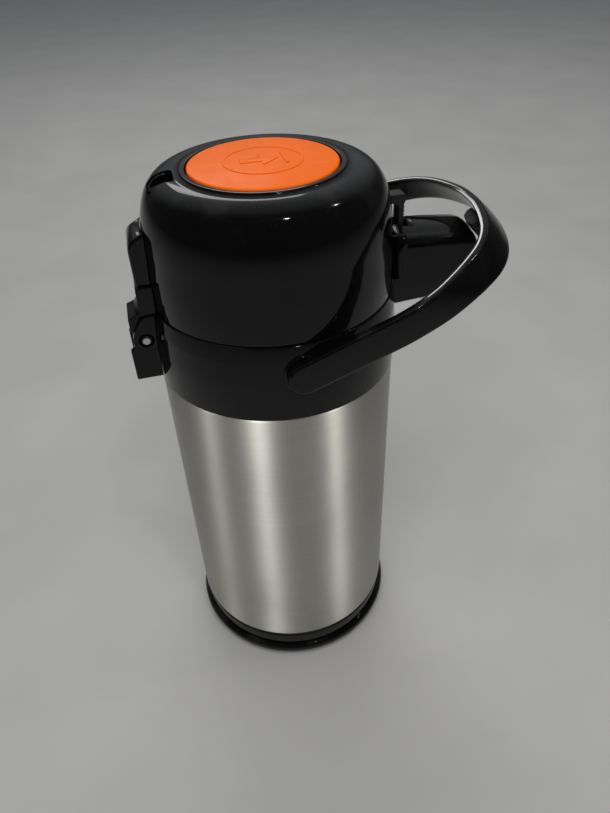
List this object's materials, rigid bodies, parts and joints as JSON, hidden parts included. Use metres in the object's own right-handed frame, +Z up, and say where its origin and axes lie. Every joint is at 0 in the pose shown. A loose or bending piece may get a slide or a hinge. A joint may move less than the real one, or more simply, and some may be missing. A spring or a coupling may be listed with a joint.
{
  "type": "thermal airpot",
  "caption": "Push-button thermal airpot: brushed steel vacuum body on a swivel base, black domed pump lid on a rear hinge, spout nose, lid latch and swinging bail handle.",
  "frame": {"origin": "centre of the underside of the swivel base, in the plane of the table", "axes": "+Z up along the body's axis, -Y towards the spout, +Y towards the lid hinge, +X to the right as seen from behind the lid hinge, looking towards the spout"},
  "size_m": [0.1598, 0.2268, 0.3576],
  "materials": {
    "black_gloss": "glossy moulded",
    "orange_gloss": "glossy moulded",
    "black_matte": "satin moulded",
    "white_plastic": "satin moulded",
    "brushed_steel": "brushed around the body",
    "liner_steel": "fine satin",
    "fixing_steel": "bright turned",
    "rubber": "matte",
    "silicone": "satin"
  },
  "bodies": {
    "base": {"swivel_base": "black_gloss", "anti_slip_ring": "rubber", "glide_ring": "white_plastic", "pivot_bolt": "fixing_steel", "bolt_cover": "rubber", "pivot_nut": "fixing_steel"},
    "pot": {"bottom_cap": "black_gloss", "steel_shell": "brushed_steel", "liner_neck": "liner_steel", "liner_shoulder": "liner_steel", "liner_wall": "liner_steel", "liner_floor": "liner_steel", "jacket_shoulder": "liner_steel", "jacket_wall": "liner_steel", "jacket_floor": "liner_steel", "evacuation_cap": "liner_steel", "liner_cushion": "rubber", "liner_retainer": "black_matte", "neck_gasket": "silicone", "collar": "black_gloss", "hinge_bracket": "black_gloss", "bracket_screw_1": "fixing_steel", "bracket_screw_2": "fixing_steel", "hinge_pin": "fixing_steel", "nose_cover": "black_gloss", "nose_screw_1": "fixing_steel", "nose_screw_2": "fixing_steel", "latch_pin": "fixing_steel", "inner_stopper": "white_plastic", "dip_tube": "white_plastic", "outlet_tube": "white_plastic", "spout_nozzle": "black_matte", "handle_stud_left": "fixing_steel", "handle_stud_right": "fixing_steel"},
    "lid": {"lid_dome": "black_gloss", "vent_cover": "black_gloss", "lid_base_plate": "black_matte", "lid_gasket": "silicone", "air_valve": "silicone", "lid_screw_1": "fixing_steel", "lid_screw_2": "fixing_steel", "lid_screw_3": "fixing_steel", "lid_screw_4": "fixing_steel", "hinge_arm": "black_gloss", "hinge_screw_1": "fixing_steel", "hinge_screw_2": "fixing_steel", "bellows": "silicone", "return_spring": "fixing_steel"},
    "button": {"pump_plate": "white_plastic", "button_carrier": "black_gloss", "push_button": "orange_gloss"},
    "latch": {"latch_lever": "black_matte"},
    "handle": {"bail_handle": "black_gloss", "bail_catch": "rubber"}
  },
  "joints": [
    {"name": "base_swivel", "type": "hinge", "parent": "base", "child": "pot", "pos_m": [0, 0, 0], "axis": [0, 0, 1], "continuous": true},
    {"name": "lid_hinge", "type": "hinge", "parent": "pot", "child": "lid", "pos_m": [0, 0.078, 0.268], "axis": [-1, 0, 0], "range_deg": [0, 95]},
    {"name": "pump_slide", "type": "slide", "parent": "lid", "child": "button", "axis": [0, 0, -1], "range_m": [0, 0.018], "stiffness_N_per_m": 500, "springref_m": -0.012, "deforming": ["bellows", "return_spring"]},
    {"name": "latch_hinge", "type": "hinge", "parent": "pot", "child": "latch", "pos_m": [0, -0.078, 0.303], "axis": [1, 0, 0], "range_deg": [0, 12], "stiffness_Nm_per_rad": 0.05, "springref_deg": -17.19},
    {"name": "bail_hinge", "type": "hinge", "parent": "pot", "child": "handle", "pos_m": [0, 0, 0.2687], "axis": [-1, 0, 0], "range_deg": [0, 95]}
  ]
}
